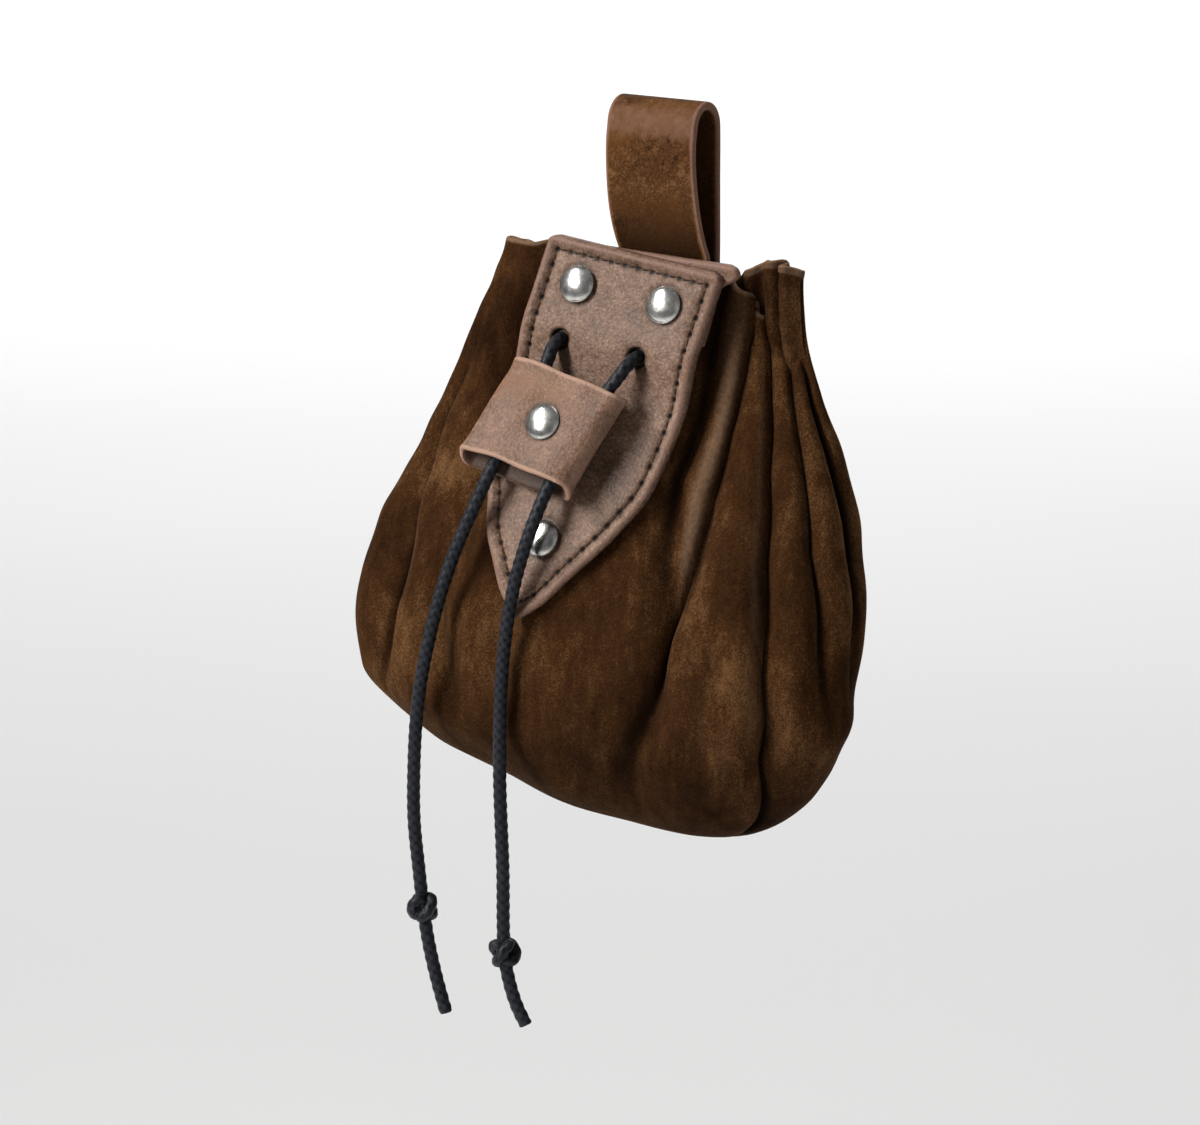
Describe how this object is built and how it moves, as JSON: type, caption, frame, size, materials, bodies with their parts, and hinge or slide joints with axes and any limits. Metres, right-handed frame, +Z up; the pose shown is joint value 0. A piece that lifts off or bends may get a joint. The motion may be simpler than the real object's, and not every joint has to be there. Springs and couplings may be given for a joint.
{
  "type": "medieval belt pouch",
  "caption": "Gathered suede drawstring bag on a leather belt loop, with a riveted pointed plate, a folded cord keeper and knotted cord ends.",
  "frame": {"origin": "inside top of the belt loop, in the middle of the strap's width, where the loop rests on a belt's upper edge", "axes": "+Z up as the pouch hangs, front towards -Y, the belt runs along X through the loop"},
  "size_m": [0.1234, 0.0595, 0.1994],
  "materials": {
    "suede": "brushed dark brown suede with a soft nap",
    "plate_leather": "satin rubbed brown leather",
    "strap_leather": "satin mottled brown leather",
    "keeper_leather": "satin rubbed brown leather",
    "nickel": "polished nickel, slightly worn",
    "waxed_cord": "waxed black braid"
  },
  "bodies": {
    "root": {"bag": "suede", "front_plate": "plate_leather", "backing_patch": "plate_leather", "belt_loop": "strap_leather", "cord_keeper": "keeper_leather", "rivet_top_left": "nickel", "rivet_top_right": "nickel", "rivet_tip": "nickel", "rivet_keeper": "nickel", "rivet_back": "nickel", "drawstring": "waxed_cord", "cord_left": "waxed_cord", "cord_right": "waxed_cord", "knot_left": "waxed_cord", "knot_right": "waxed_cord"}
  },
  "joints": []
}
